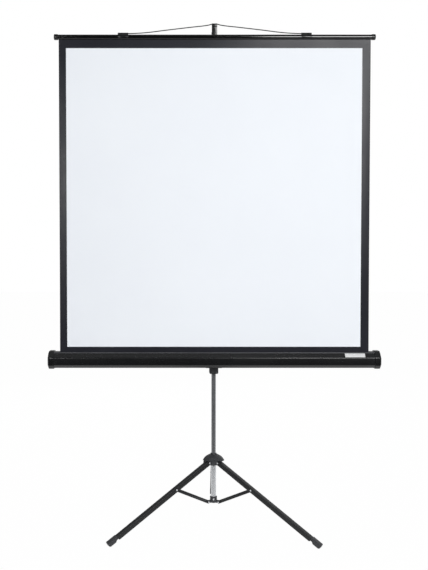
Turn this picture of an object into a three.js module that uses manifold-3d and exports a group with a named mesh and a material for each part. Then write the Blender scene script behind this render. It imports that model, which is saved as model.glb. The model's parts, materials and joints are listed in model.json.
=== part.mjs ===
// Tripod projection screen: a spring-roller screen in an octagonal case that rides on a
// telescopic mast, with a folding tripod below and a hook for the screen's bail on top.
// Millimetres, +Z up, the floor at Z = 0, the picture facing -Y.
import * as THREE from 'three';
import { mergeVertices } from 'three/addons/utils/BufferGeometryUtils.js';
import Module from 'manifold-3d';

const wasm = await Module();
wasm.setup();

// Clearances
const gap = 0.3;            // between faces that touch
const slip = 0.3;           // radial, between a tube or pin and its hole
const over = 5;             // how far a cutter reaches past what it cuts
const roundSides = 24;      // sides of a tube
const pinSides = 10;        // sides of a pin or rivet

// Screen fabric
const fabricWidth = 1500;
const fabricThickness = 0.6;
const fabricTop = 2401;     // height of the fabric's upper edge, inside the bar
const hemDiameter = 6;      // bead in the fabric's upper edge, wider than the bar's groove
const fabricForward = 52;   // the picture's plane in front of the case's back

// Bar at the fabric's upper edge
const barDiameter = 24;
const barOverhang = 4;      // bar past the fabric at each end
const barGrooveWidth = 3;
const hemDepth = 6;         // fabric's upper edge above the bar's underside
const barCapLip = 2;        // cap's rim proud of the bar
const barCapLength = 18;
const barCapStem = 3.5;
const barCapChamfer = 4;
const barWall = 1.2;

// Bail and its clips
const clipSpacing = 881;    // between the two clips' centres
const clipLength = 50;
const clipWall = 1.6;
const clipEar = 6.5;        // height of the ear above the bar
const clipOpen = 4;         // saddle's edges below the bar's axis
const wireShort = 4;        // wire's end inside the clip's outer face
const wireDiameter = 4.6;
const bailRise = 67;        // bar's centre to the wire's peak
const bailShoulder = 62.8;  // bar's centre to the wire beside the hook
const bailSetBack = 20;     // how far the peak leans back from the fabric's plane
const bailPeakSpare = 2;    // flat part of the wire past each side of the hook
const bailPeakSlope = 13;   // length of the bend from the peak to the shoulder
const bailCurveShares = [[0.3, 0.71], [0.55, 0.41], [0.8, 0.1]]; // of the way to the clip, of the rise
const bailSteps = 3;        // sections between two points of the wire

// Mast, its sleeve and its upper stage
const mastDiameter = 22;
const mastWall = 1.2;
const mastSeat = 4;         // mast's end above the collar's underside
const footPlugLip = 2;      // plug below the collar
const edgeBreak = 1;        // small chamfers
const mastTop = 1300;
const sleeveWall = 1.2;
const stageClearance = 0.5; // radial, between the mast's bore and its upper stage
const extensionWall = 1.2;
const extensionOverlap = 110; // upper stage inside the mast
const glideLength = 14;
const topCollarWall = 6.7;
const topCollarBreak = 2;
const topCollarCrown = 3;
const topCollarGrip = 26;   // length of the collar on the mast
const topCollarLip = 20;    // length of the collar above the mast

// Hook on the upper stage
const hookWidth = 26;
const hookArmThickness = 12;
const hookNose = 8;         // thickness of the nose under the wire
const hookLip = 5;          // height of the lip that keeps the wire on the nose
const hookPostDepth = 10;
const hookSocket = 60;      // length of the socket on the tube
const hookSocketWall = 3;
const hookSocketDrop = 22;  // upper stage's end below the nose's top
const hookCrown = 6;        // socket's closed end
const hookReach = 4;        // nose in front of the wire
const hookClear = 1;        // wire to the post
const hookLipThickness = 3;
const hookArmDrop = 40;     // arm below the nose

// Tripod linkage: pivots by radius and height
const pivotRadius = 30;
const hubPivotHeight = 328; // above the floor
const kneeRadius = 214;
const kneeHeight = 218.5;
const collarPivotHeight = 130.5;
const tripodTurn = -1.5;    // the tripod stands a little turned under the screen
const legAzimuths = { left: 210 + tripodTurn, right: 330 + tripodTurn, rear: 90 + tripodTurn };

// Legs, feet and braces
const legWidth = 26;
const legDepth = 21;
const legWall = 1.5;
const toeCut = 10.5;        // leg's end short of where its axis meets the floor
const footLength = 54;      // shoe outside the channel
const footPlug = 45;        // foot inside the channel
const footDepth = 20.5;     // shoe's underside below the channel's top
const footLip = 1.5;        // shoe above the channel's top
const footFlare = 0.6;      // shoe past each side of the channel
const footNose = 4;         // radius of the toe
const footNeckDepth = 14;   // underside of the neck below the channel's top
const footNeckShare = 0.16; // neck's length, of the shoe's
const footHeelShare = 0.32; // start of the shoe's full depth, of its length
const channelCorner = 6;    // cut off the channel's lower corner at the foot
const braceDepth = 16;
const braceThickness = 4;
const rivetDiameter = 6;
const rivetHeadLip = 1.5;
const rivetHeadFace = 0.7;  // flat share of a rivet's head
const rivetHeadHeight = 1.6;
const spacerWall = 2;

// Hub
const hubBrimReach = 26;    // brim outside the pivots
const hubFlat = 38;         // axis to the flats between the legs
const hubSkirtReach = 4;    // skirt outside the pivots
const hubCheek = 2.5;       // wall on each side of a leg, under the pin's head
const hubNeckWall = 4;      // neck round the mast, at its foot
const hubNeckRise = 6;
const hubNeckTaper = 1;
const hubCrownLedge = 8;    // inner edge of the dome from the sleeve's radius
const hubSides = 30;
const hubTop = 45;          // above the pivots
const hubShoulder = 14;     // height of the dome's widest ring above the pivots
const hubDomeBend = 1.7;    // 1 makes the dome's profile round, 2 makes it a cone
const hubBrim = 12.5;       // underside of the dome above the pivots
const hubBottom = 10;       // below the pivots
const legClear = 1;         // leg to the slot's roof
const legEndClear = 0.5;    // leg's round end to the slot's inner face
const headClear = 1;        // rivet head to its seat
const hubKnobDrop = 5.5;    // knob's axis below the pivots
const hubKnobAzimuth = 138;

// Lower collar
const collarWall = 4.7;
const collarAbove = 25.5;   // collar's top above the brace pivots
const collarBelow = 4.5;    // collar's underside below them
const lugCheek = 4.2;       // wall on each side of a brace
const lugRoot = 4;          // lug sunk into the collar
const slitRoot = 1;         // slit's inner end outside the collar
const notchClear = 1;       // rivet to the open notch
const lugReach = 8;         // lug past the pivot
const lugRise = 8;          // lug above the pivot
const collarRivetRise = 13.5; // above the brace pivots

// Case and its mount on the mast
const caseMargin = 55.5;    // case past the fabric at each end
const caseHeight = 77.6;
const caseDepth = 75;
const caseBottom = 812.9;
const caseWall = 1.2;
const upperCut = 27;        // front upper slope
const lowerCut = 15;        // front lower slope
const backCut = 12;
const slotWidth = 6.5;
const capRim = 4.5;         // cap's thickness round the case
const capLength = 27;
const capEnd = 9;           // thickness of the cap's end
const capBossHeight = 3;
const bracketWidth = 44;
const bracketDepthFront = 35.1;
const bracketDepthBehind = 19;
const bracketBelow = 77.5;  // below the swivel
const bracketAbove = 72.5;
const bracketChamfer = 4;
const plateWidth = 78;
const plateHeight = 96;
const plateThickness = 3;
const washerDiameter = 38;
const washerThickness = 2;
const boltDiameter = 8;
const boltHeadLip = 3.5;
const boltSpare = 1;        // socket past the bolt's tip
const boltHeadHeight = 4;
const boltBite = 16;        // bolt inside the bracket
const labelWidth = 97;
const labelHeight = 24;
const labelThickness = 0.8;
const labelFromEnd = 123.5; // its centre from the case's end
const labelShare = 0.4;     // its centre along the slope, from the front

// Roller
const rollerDiameter = 38;
const rollerWall = 1;
const rollThickness = 1.1;  // fabric still wound on the roller
const rollerOverhang = 5;   // roller past the fabric at each end
const rollerDrop = 3;       // roller's axis below the case's middle
const bearingThickness = 3;
const bearingInset = 12;    // bearing plate inside the shell's end
const shaftDiameter = 9;
const shaftLength = 420;
const springOuter = 24;
const springInner = 11;
const springLength = 330;
const plugLength = 26;
const plugFlange = 3;
const journalSpare = 2;     // journal past its bearing

// Lock knobs
const knobRadius = 15;
const knobLobe = 2.5;
const knobLobes = 5;
const knobLength = 13;
const knobNeck = 9;
const knobNeckDiameter = 10.8;
const knobSteps = 6;        // points on each lobe
const knobClear = 1;        // neck to what it bears on
const studDiameter = 6;
const weld = 1;             // overlap of shapes that make one piece

const colours = {
  blackPlastic: [0x17181a, 0.5, 0],
  blackPaint: [0x1b1c1f, 0.4, 0.2],
  bright: [0xc9cbcd, 0.3, 1],
  steel: [0x8b8e92, 0.35, 1],
  fabric: [0xf0f1f3, 0.9, 0],
  nylon: [0x2a2b2d, 0.6, 0],
  label: [0xf2f2f0, 0.6, 0],
};

const root = new THREE.Group();
const rad = THREE.MathUtils.degToRad;

function add(name, geometry, look, parent = root) {
  const [color, roughness, metalness] = colours[look];
  const mesh = new THREE.Mesh(geometry, new THREE.MeshStandardMaterial({ color, roughness, metalness }));
  mesh.name = name;
  parent.add(mesh);
  return mesh;
}

// Boolean work
function solid(geometry) {
  const bare = geometry.clone();
  bare.deleteAttribute('normal');
  bare.deleteAttribute('uv');
  const merged = mergeVertices(bare, 1e-4);
  return new wasm.Manifold(new wasm.Mesh({
    numProp: 3,
    vertProperties: new Float32Array(merged.attributes.position.array),
    triVerts: new Uint32Array(merged.index.array),
  }));
}

function geometryOf(manifold) {
  const mesh = manifold.getMesh();
  const geometry = new THREE.BufferGeometry();
  geometry.setAttribute('position', new THREE.BufferAttribute(Float32Array.from(mesh.vertProperties), 3));
  geometry.setIndex(new THREE.BufferAttribute(Uint32Array.from(mesh.triVerts), 1));
  geometry.computeVertexNormals();
  return geometry;
}

function cut(base, ...tools) {
  return geometryOf(tools.reduce((rest, tool) => rest.subtract(solid(tool)), solid(base)));
}

function join(...pieces) {
  return geometryOf(pieces.map(solid).reduce((all, piece) => all.add(piece)));
}

// Basic shapes
function box(x0, x1, y0, y1, z0, z1) {
  return new THREE.BoxGeometry(x1 - x0, y1 - y0, z1 - z0)
    .translate((x0 + x1) / 2, (y0 + y1) / 2, (z0 + z1) / 2);
}

function rod(radius, z0, z1, sides = roundSides) {
  return new THREE.CylinderGeometry(radius, radius, z1 - z0, sides)
    .rotateX(Math.PI / 2).translate(0, 0, (z0 + z1) / 2);
}

function alongX(geometry) { return geometry.rotateY(Math.PI / 2); }
function alongY(geometry) { return geometry.rotateX(-Math.PI / 2); }

// A solid of revolution about Z from [radius, height] points.
function turned(points, sides = roundSides) {
  const profile = points.map(([r, z]) => new THREE.Vector2(r, z));
  return new THREE.LatheGeometry(profile, sides).rotateX(Math.PI / 2);
}

function ring(inner, outer, z0, z1, sides = roundSides) {
  return turned([[inner, z0], [outer, z0], [outer, z1], [inner, z1], [inner, z0]], sides);
}

// A headed pin along Z, centred on the origin, with an optional thicker middle.
function rivet(halfLength, spacerHalf = 0) {
  const shaft = rivetDiameter / 2;
  const head = shaft + rivetHeadLip;
  const spacer = shaft + spacerWall;
  const end = halfLength + rivetHeadHeight;
  const middle = spacerHalf > 0
    ? [[shaft, -spacerHalf], [spacer, -spacerHalf], [spacer, spacerHalf], [shaft, spacerHalf]]
    : [];
  return turned([
    [0, -end], [head * rivetHeadFace, -end], [head, -halfLength], [shaft, -halfLength], ...middle,
    [shaft, halfLength], [head, halfLength], [head * rivetHeadFace, end], [0, end],
  ], pinSides);
}

function shapeOf(points) {
  return new THREE.Shape(points.map(([x, y]) => new THREE.Vector2(x, y)));
}

// A (y, z) outline extruded along X, centred on X = 0.
function alongCase(points, length) {
  const geometry = new THREE.ExtrudeGeometry(shapeOf(points), { depth: length, bevelEnabled: false });
  return geometry.translate(0, 0, -length / 2).applyMatrix4(
    new THREE.Matrix4().makeBasis(new THREE.Vector3(0, 1, 0), new THREE.Vector3(0, 0, 1), new THREE.Vector3(1, 0, 0)));
}

// An (x, z) outline extruded along Y from y0 to y1.
function alongDepth(points, y0, y1) {
  const geometry = new THREE.ExtrudeGeometry(shapeOf(points), { depth: y1 - y0, bevelEnabled: false });
  return geometry.rotateX(Math.PI / 2).translate(0, y1, 0);
}

// Moves each side of a counter-clockwise closed outline inwards by d (outwards if negative).
function inset(points, d) {
  const count = points.length;
  return points.map((point, i) => {
    const before = points[(i + count - 1) % count];
    const after = points[(i + 1) % count];
    const a = new THREE.Vector2(point[0] - before[0], point[1] - before[1]).normalize();
    const b = new THREE.Vector2(after[0] - point[0], after[1] - point[1]).normalize();
    const scale = d / (1 + a.dot(b));
    return [point[0] - (a.y + b.y) * scale, point[1] + (a.x + b.x) * scale];
  });
}

// A lobed hand knob on a stud that points along +Z from the stud's tip to the knob.
function knob(studStart, knobStart) {
  const outline = new THREE.Shape();
  const steps = knobLobes * knobSteps;
  for (let i = 0; i < steps; i += 1) {
    const turn = (2 * Math.PI * i) / steps;
    const r = knobRadius - knobLobe + knobLobe * Math.cos(knobLobes * turn);
    if (i === 0) outline.moveTo(r, 0);
    else outline.lineTo(r * Math.cos(turn), r * Math.sin(turn));
  }
  const grip = new THREE.ExtrudeGeometry(outline, { depth: knobLength, bevelEnabled: false })
    .translate(0, 0, knobStart + knobNeck);
  const neck = rod(knobNeckDiameter / 2, knobStart, knobStart + knobNeck + weld, pinSides);
  const stud = rod(studDiameter / 2, studStart, knobStart + weld, pinSides);
  return join(grip, neck, stud);
}

// Tripod linkage worked out from its pivots
const kneeSpan = Math.hypot(kneeRadius - pivotRadius, hubPivotHeight - kneeHeight);
const legPitch = Math.atan2(hubPivotHeight - kneeHeight, kneeRadius - pivotRadius);
const braceSpan = Math.hypot(kneeRadius - pivotRadius, kneeHeight - collarPivotHeight);
const bracePitch = Math.atan2(kneeHeight - collarPivotHeight, kneeRadius - pivotRadius);
const mastRadius = mastDiameter / 2;
const sleeveRadius = mastRadius + slip + sleeveWall;
const hubSeat = hubPivotHeight - hubBottom;
const hubPinHalf = legWidth / 2 + hubCheek;
const hubRadius = pivotRadius + hubBrimReach;
const hubSkirtRadius = pivotRadius + hubSkirtReach;
const hubSlotInner = pivotRadius - legDepth / 2 - legEndClear;
const rivetHead = rivetDiameter + 2 * rivetHeadLip;
const legReach = hubPivotHeight / Math.sin(legPitch) - toeCut;
const collarRadius = sleeveRadius + slip + collarWall;
const collarTop = collarPivotHeight + collarAbove;
const collarBottom = collarPivotHeight - collarBelow;
const collarRivetHeight = collarPivotHeight + collarRivetRise;
const lugThickness = braceThickness + 2 * gap + 2 * lugCheek;
const mastBottom = collarBottom + mastSeat;

// Mast
const mastGroup = new THREE.Group();
root.add(mastGroup);
const rivetHole = alongY(rod(rivetDiameter / 2 + slip, -collarRadius - over, collarRadius + over, pinSides))
  .translate(0, 0, collarRivetHeight);
add('mast_tube', cut(ring(mastRadius - mastWall, mastRadius, mastBottom, mastTop), rivetHole), 'steel', mastGroup);
add('stop_sleeve', cut(ring(mastRadius + slip, sleeveRadius, mastBottom, hubSeat - gap), rivetHole), 'bright', mastGroup);
add('mast_foot_plug', turned([
  [0, collarBottom - footPlugLip], [sleeveRadius - edgeBreak, collarBottom - footPlugLip], [sleeveRadius, collarBottom],
  [sleeveRadius, mastBottom - gap], [mastRadius - mastWall - slip, mastBottom - gap],
  [mastRadius - mastWall - slip, collarRivetHeight - rivetDiameter / 2 - edgeBreak],
  [0, collarRivetHeight - rivetDiameter / 2 - edgeBreak],
]), 'blackPlastic', mastGroup);

// Lower collar: a ring with a slotted lug for each brace. Each slot is open below the pivot.
function lug(azimuth) {
  const lugEnd = pivotRadius + lugReach;
  const block = box(collarRadius - lugRoot, lugEnd, -lugThickness / 2, lugThickness / 2,
    collarBottom, collarPivotHeight + lugRise);
  return block.rotateZ(rad(azimuth));
}
function lugCuts(azimuth) {
  const slit = box(collarRadius + slitRoot, pivotRadius + lugReach + over, -braceThickness / 2 - gap,
    braceThickness / 2 + gap, collarBottom - over, collarPivotHeight + lugRise + over);
  const notchHalf = rivetDiameter / 2 + notchClear;
  const notch = box(pivotRadius - notchHalf, pivotRadius + notchHalf, -lugThickness, lugThickness,
    collarBottom - over, collarPivotHeight + notchHalf);
  return [slit.rotateZ(rad(azimuth)), notch.rotateZ(rad(azimuth))];
}
const azimuths = Object.values(legAzimuths);
const collarBody = join(ring(sleeveRadius + slip, collarRadius, collarBottom, collarTop), ...azimuths.map(lug));
const collarBore = rod(sleeveRadius + slip, collarBottom - over, collarTop + over);
add('lower_collar', cut(collarBody, collarBore, rivetHole, ...azimuths.flatMap(lugCuts)), 'blackPlastic', mastGroup);
add('collar_rivet', alongY(rivet(collarRadius + gap)).translate(0, 0, collarRivetHeight), 'bright', mastGroup);

// Hub: a three-cornered dome on a skirt, slotted for the legs, sliding on the mast.
const hubGroup = new THREE.Group();
hubGroup.position.z = hubPivotHeight;
root.add(hubGroup);
const hubBore = mastRadius + slip;
const domeInner = sleeveRadius + hubCrownLedge;
const domeTop = hubTop - hubNeckRise;
const neckRadius = sleeveRadius + hubNeckWall;
const dome = [];
const domeSteps = 6;
for (let i = 0; i <= domeSteps; i += 1) {
  const turn = (Math.PI / 2) * (i / domeSteps);
  const [out, rise] = [Math.cos(turn), Math.sin(turn)].map((share) => Math.max(share, 0) ** hubDomeBend);
  dome.push([domeInner + (hubRadius - domeInner) * out, hubShoulder + (domeTop - hubShoulder) * rise]);
}
const hubBody = turned([
  [hubBore, -hubBottom], [hubSkirtRadius, -hubBottom], [hubSkirtRadius, hubBrim], [hubRadius, hubBrim], ...dome,
  [neckRadius, domeTop], [neckRadius - hubNeckTaper, hubTop], [hubBore, hubTop], [hubBore, -hubBottom],
], hubSides);
const prismCorner = hubFlat / Math.cos(Math.PI / 3);
const prism = new THREE.CylinderGeometry(prismCorner, prismCorner, 2 * (hubTop + hubBottom), 3)
  .rotateX(Math.PI / 2).rotateZ(rad(legAzimuths.rear) + Math.PI / 2);
const hubCutters = azimuths.flatMap((azimuth) => {
  const slot = box(hubSlotInner, hubRadius + over, -legWidth / 2 - gap, legWidth / 2 + gap,
    -hubBottom - over, legDepth / 2 + legClear);
  const hole = alongY(rod(rivetDiameter / 2 + slip, -hubRadius, hubRadius, pinSides)).translate(pivotRadius, 0, 0);
  const seats = [1, -1].map((side) => {
    const seat = alongY(rod(rivetHead / 2 + headClear, hubPinHalf, hubRadius, pinSides));
    if (side < 0) seat.rotateZ(Math.PI);
    return seat.translate(pivotRadius, 0, 0);
  });
  return [slot, hole, ...seats].map((tool) => tool.rotateZ(rad(azimuth)));
});
const hubKnobDirection = rad(hubKnobAzimuth);
const hubKnobHeight = -hubKnobDrop;
const hubStudHole = alongX(rod(studDiameter / 2 + slip, 0, hubSkirtRadius + over, pinSides))
  .translate(0, 0, hubKnobHeight).rotateZ(hubKnobDirection);
const hubSolid = geometryOf(solid(hubBody).intersect(solid(prism)));
add('tripod_hub', cut(hubSolid, ...hubCutters, hubStudHole), 'blackPlastic', hubGroup);
for (const [side, azimuth] of Object.entries(legAzimuths)) {
  const pin = alongY(rivet(hubPinHalf + gap)).translate(pivotRadius, 0, 0).rotateZ(rad(azimuth));
  add(`hub_pin_${side}`, pin, 'bright', hubGroup);
}
const hubKnob = knob(mastRadius + gap, hubSkirtRadius + knobClear);
add('hub_lock_knob', alongX(hubKnob).translate(0, 0, hubKnobHeight).rotateZ(hubKnobDirection), 'blackPlastic', hubGroup);

// Legs: channels open below, each with a plastic foot and a flat brace down to the collar.
// In a leg's own group X runs down the leg from the hub pivot and Z points away from the floor.
const channelEnd = legReach - footLength;
const legHalf = legDepth / 2;
const innerHalf = legWidth / 2 - legWall;

function channel() {
  const side = new THREE.Shape();
  side.moveTo(0, -legHalf);
  side.lineTo(channelEnd - channelCorner, -legHalf);
  side.lineTo(channelEnd, -legHalf + channelCorner);
  side.lineTo(channelEnd, legHalf);
  side.lineTo(0, legHalf);
  side.absarc(0, 0, legHalf, Math.PI / 2, 1.5 * Math.PI, false);
  const blank = new THREE.ExtrudeGeometry(side, { depth: legWidth, bevelEnabled: false, curveSegments: 8 })
    .rotateX(Math.PI / 2).translate(0, legWidth / 2, 0);
  const hollow = box(-legDepth, legReach, -innerHalf, innerHalf, -legDepth, legHalf - legWall);
  const holes = [0, kneeSpan].map((x) => alongY(
    rod(rivetDiameter / 2 + slip, -legWidth, legWidth, pinSides)).translate(x, 0, 0));
  return cut(blank, hollow, ...holes);
}

// The foot: a plug in the channel's end, a neck and a wider shoe, cut flat where it meets the floor.
function foot() {
  const start = channelEnd + gap;
  const top = legHalf + footLip;
  const neck = legHalf - footNeckDepth;
  const plug = box(channelEnd - footPlug, start + footNose, -innerHalf + gap, innerHalf - gap, neck, legHalf - legWall - gap);
  const side = new THREE.Shape();
  side.moveTo(start, neck);
  side.lineTo(start + footLength * footNeckShare, neck);
  side.lineTo(start + footLength * footHeelShare, legHalf - footDepth);
  side.lineTo(legReach, legHalf - footDepth);
  side.lineTo(legReach, top - footNose);
  side.absarc(legReach - footNose, top - footNose, footNose, 0, Math.PI / 2, false);
  side.lineTo(start, top);
  const half = legWidth / 2 + footFlare;
  const shoe = new THREE.ExtrudeGeometry(side, { depth: 2 * half, bevelEnabled: false, curveSegments: 4 })
    .rotateX(Math.PI / 2).translate(0, half, 0);
  const floor = box(-legReach, legReach, -legWidth, legWidth, -legReach, -hubPivotHeight)
    .rotateY(-legPitch);
  return cut(join(plug, shoe), floor);
}

const braceEnd = braceDepth / 2;
function brace() {
  const side = new THREE.Shape();
  side.moveTo(0, -braceEnd);
  side.lineTo(braceSpan, -braceEnd);
  side.absarc(braceSpan, 0, braceEnd, -Math.PI / 2, Math.PI / 2, false);
  side.lineTo(0, braceEnd);
  side.absarc(0, 0, braceEnd, Math.PI / 2, 1.5 * Math.PI, false);
  const blank = new THREE.ExtrudeGeometry(side, { depth: braceThickness, bevelEnabled: false, curveSegments: 8 })
    .rotateX(Math.PI / 2).translate(0, braceThickness / 2, 0);
  const holes = [0, braceSpan].map((x) => alongY(
    rod(rivetDiameter / 2 + slip, -legWidth, legWidth, pinSides)).translate(x, 0, 0));
  return cut(blank, ...holes);
}

// The knee rivet has a spacer sleeve on each side of the brace.
function kneeRivet() {
  const spacer = [1, -1].map((side) => {
    const sleeve = alongY(rod(rivetDiameter / 2 + spacerWall, braceThickness / 2 + gap, innerHalf - gap, pinSides));
    return side > 0 ? sleeve : sleeve.rotateZ(Math.PI);
  });
  return join(alongY(rivet(legWidth / 2 + gap)), ...spacer).translate(kneeSpan, 0, 0);
}

for (const [side, azimuth] of Object.entries(legAzimuths)) {
  const arm = new THREE.Group();
  arm.rotation.z = rad(azimuth);
  arm.position.z = hubPivotHeight;
  root.add(arm);
  const leg = new THREE.Group();
  leg.position.x = pivotRadius;
  leg.rotation.y = legPitch;
  arm.add(leg);
  add(`leg_${side}`, channel(), 'blackPaint', leg);
  add(`foot_${side}`, foot(), 'blackPlastic', leg);
  add(`knee_rivet_${side}`, kneeRivet(), 'bright', leg);
  const strut = new THREE.Group();
  strut.position.set(pivotRadius, 0, collarPivotHeight - hubPivotHeight);
  strut.rotation.y = -bracePitch;
  arm.add(strut);
  add(`brace_${side}`, brace(), 'blackPaint', strut);
  add(`brace_rivet_${side}`, alongY(rivet(lugThickness / 2 + gap)), 'bright', strut);
}

// Case outline in (y, z) from the case's middle, counter-clockwise seen from +X, -Y to the front.
const caseLength = fabricWidth + 2 * caseMargin;
const caseBack = -bracketDepthFront - plateThickness - washerThickness - 3 * gap;
const fabricPlaneY = caseBack - fabricForward;
const caseMiddle = caseBottom + caseHeight / 2;
const caseCentreY = caseBack - caseDepth / 2;
const halfH = caseHeight / 2;
const halfD = caseDepth / 2;
const caseOutline = [
  [-halfD + lowerCut, -halfH], [halfD - backCut, -halfH], [halfD, -halfH + backCut],
  [halfD, halfH - backCut], [halfD - backCut, halfH], [-halfD + upperCut, halfH],
  [-halfD, halfH - upperCut], [-halfD, -halfH + lowerCut],
];
const caseInside = inset(caseOutline, caseWall);
const caseGroup = new THREE.Group();
caseGroup.position.set(0, caseCentreY, caseMiddle);
root.add(caseGroup);
const slotY = fabricPlaneY - caseCentreY;
const shellLength = caseLength - 2 * capEnd - 2 * gap;
const boltHole = alongY(rod(boltDiameter / 2 + slip, 0, halfD + over, pinSides));
const slotCutter = box(-caseLength, caseLength, slotY - slotWidth / 2, slotY + slotWidth / 2, 0, halfH + over);
const shellBlank = cut(alongCase(caseOutline, shellLength), alongCase(caseInside, shellLength + over));
add('case_shell', cut(shellBlank, slotCutter, boltHole), 'blackPaint', caseGroup);

// End caps: a sleeve over the shell, a closed end and a low raised panel.
function endCap() {
  const outer = alongCase(inset(caseOutline, -capRim), capLength);
  const panelReach = capLength / 2 + capBossHeight;
  const panel = alongCase(inset(caseOutline, capRim), panelReach).translate(panelReach / 2, 0, 0);
  const pocket = alongCase(inset(caseOutline, -gap), capLength).translate(-capEnd, 0, 0);
  return cut(join(outer, panel), pocket).translate((caseLength - capLength) / 2, 0, 0);
}
function mirroredX(geometry) {
  const flipped = geometry.clone().scale(-1, 1, 1);
  const order = flipped.index.array;
  for (let i = 0; i < order.length; i += 3) [order[i], order[i + 1]] = [order[i + 1], order[i]];
  return flipped;
}
const capRight = endCap();
add('end_cap_right', capRight, 'blackPlastic', caseGroup);
add('end_cap_left', mirroredX(capRight), 'blackPlastic', caseGroup);

// Blank label plate on the front upper slope.
const slopeAngle = Math.PI / 4;
const slopeMiddle = [-halfD + upperCut * labelShare, halfH - upperCut * (1 - labelShare)];
const labelCentreX = caseLength / 2 - labelFromEnd;
const label = box(-labelWidth / 2, labelWidth / 2, -labelHeight / 2, labelHeight / 2, 0, labelThickness)
  .rotateX(slopeAngle)
  .translate(labelCentreX, slopeMiddle[0] - gap * Math.sin(slopeAngle), slopeMiddle[1] + gap * Math.cos(slopeAngle));
add('label_plate', label, 'label', caseGroup);

// Roller, its end plugs, bearings, spring and the fabric still wound on it.
const rollerRadius = rollerDiameter / 2;
const rollRadius = rollerRadius + gap + rollThickness;
const rollerY = slotY + rollRadius + gap + fabricThickness / 2;
const rollerZ = -rollerDrop;
const rollerGroup = new THREE.Group();
rollerGroup.position.set(0, rollerY, rollerZ);
caseGroup.add(rollerGroup);
const rollerHalf = fabricWidth / 2 + rollerOverhang;
const bearingX = shellLength / 2 - bearingInset;
const shaftRadius = shaftDiameter / 2;
const tubeInner = rollerRadius - rollerWall;
add('roller_tube', alongX(ring(tubeInner, rollerRadius, -rollerHalf, rollerHalf)), 'steel', rollerGroup);
add('fabric_roll', alongX(ring(rollerRadius + gap, rollRadius, -fabricWidth / 2, fabricWidth / 2)), 'fabric', rollerGroup);
const plugInner = rollerHalf - plugLength;
const plugOuter = rollerHalf + gap + plugFlange;
add('roller_plug_left', alongX(turned([
  [shaftRadius + slip, -plugOuter], [rollerRadius, -plugOuter], [rollerRadius, -rollerHalf - gap],
  [tubeInner - slip, -rollerHalf - gap], [tubeInner - slip, -plugInner],
  [shaftRadius + slip, -plugInner], [shaftRadius + slip, -plugOuter],
])), 'nylon', rollerGroup);
add('roller_plug_right', alongX(turned([
  [0, plugInner], [tubeInner - slip, plugInner], [tubeInner - slip, rollerHalf + gap],
  [rollerRadius, rollerHalf + gap], [rollerRadius, plugOuter], [shaftRadius, plugOuter],
  [shaftRadius, bearingX + bearingThickness + journalSpare], [0, bearingX + bearingThickness + journalSpare],
])), 'nylon', rollerGroup);
const shaftStart = -bearingX - bearingThickness - journalSpare;
add('spring_shaft', alongX(rod(shaftRadius, shaftStart, shaftStart + shaftLength, pinSides)), 'steel', rollerGroup);
add('roller_spring', alongX(ring(springInner / 2, springOuter / 2, -plugInner + gap,
  -plugInner + gap + springLength, pinSides)), 'steel', rollerGroup);

const bearingOutline = inset(caseOutline, caseWall + gap);
const bearingBore = alongX(rod(shaftRadius + slip, -caseLength, caseLength, pinSides)).translate(0, rollerY, rollerZ);
for (const [side, x] of [['left', -bearingX], ['right', bearingX]]) {
  const plate = alongCase(bearingOutline, bearingThickness).translate(x + Math.sign(x) * bearingThickness / 2, 0, 0);
  add(`roller_bearing_${side}`, cut(plate, bearingBore), 'steel', caseGroup);
}

// Fabric: a flat sheet from the roller's front up through the bar's groove, with a beaded edge.
const fabricBottom = caseMiddle + rollerZ;
const sheet = box(-fabricWidth / 2, fabricWidth / 2, fabricPlaneY - fabricThickness / 2,
  fabricPlaneY + fabricThickness / 2, fabricBottom, fabricTop);
const hem = alongX(rod(hemDiameter / 2, -fabricWidth / 2, fabricWidth / 2, pinSides))
  .translate(0, fabricPlaneY, fabricTop);
add('screen_fabric', join(sheet, hem), 'fabric');

// Swivel between the case and the bracket: plate, washer and bolt.
const plateBack = halfD + gap + plateThickness;
const plate = box(-plateWidth / 2, plateWidth / 2, halfD + gap, plateBack, -plateHeight / 2, plateHeight / 2);
add('pivot_plate', cut(plate, alongY(rod(boltDiameter / 2 + slip, 0, plateBack + over, pinSides))), 'blackPaint', caseGroup);
const washerBack = plateBack + gap + washerThickness;
add('pivot_washer', alongY(ring(boltDiameter / 2 + slip, washerDiameter / 2, plateBack + gap, washerBack)), 'nylon', caseGroup);
const boltHeadRadius = boltDiameter / 2 + boltHeadLip;
const boltSeat = halfD - caseWall - gap;
const boltTip = washerBack + gap + boltBite;
add('pivot_bolt', alongY(turned([
  [0, boltSeat - boltHeadHeight], [boltHeadRadius, boltSeat - boltHeadHeight], [boltHeadRadius, boltSeat],
  [boltDiameter / 2, boltSeat], [boltDiameter / 2, boltTip], [0, boltTip],
], pinSides)), 'steel', caseGroup);

// Bracket: a block that slides on the mast, chamfered below, with a lock knob behind.
const bracketFront = caseCentreY + washerBack + gap;
const bracketHalf = bracketWidth / 2;
const bracketBottom = caseMiddle - bracketBelow;
const bracketTop = caseMiddle + bracketAbove;
const bracketBlank = alongDepth([
  [-bracketHalf + bracketChamfer, bracketBottom], [bracketHalf - bracketChamfer, bracketBottom],
  [bracketHalf, bracketBottom + bracketChamfer], [bracketHalf, bracketTop], [-bracketHalf, bracketTop],
  [-bracketHalf, bracketBottom + bracketChamfer],
], bracketFront, bracketDepthBehind);
const bracketBore = rod(mastRadius + slip, bracketBottom - over, bracketTop + over);
const boltSocket = alongY(rod(boltDiameter / 2 + slip, bracketFront - over, caseCentreY + boltTip + boltSpare, pinSides))
  .translate(0, 0, caseMiddle);
const bracketKnobHeight = bracketBottom + (bracketTop - bracketBottom) / 2;
const studHole = alongY(rod(studDiameter / 2 + slip, 0, bracketDepthBehind + over, pinSides));
add('mast_bracket', cut(bracketBlank, bracketBore, boltSocket, studHole.clone().translate(0, 0, bracketKnobHeight)),
  'blackPlastic');
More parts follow.
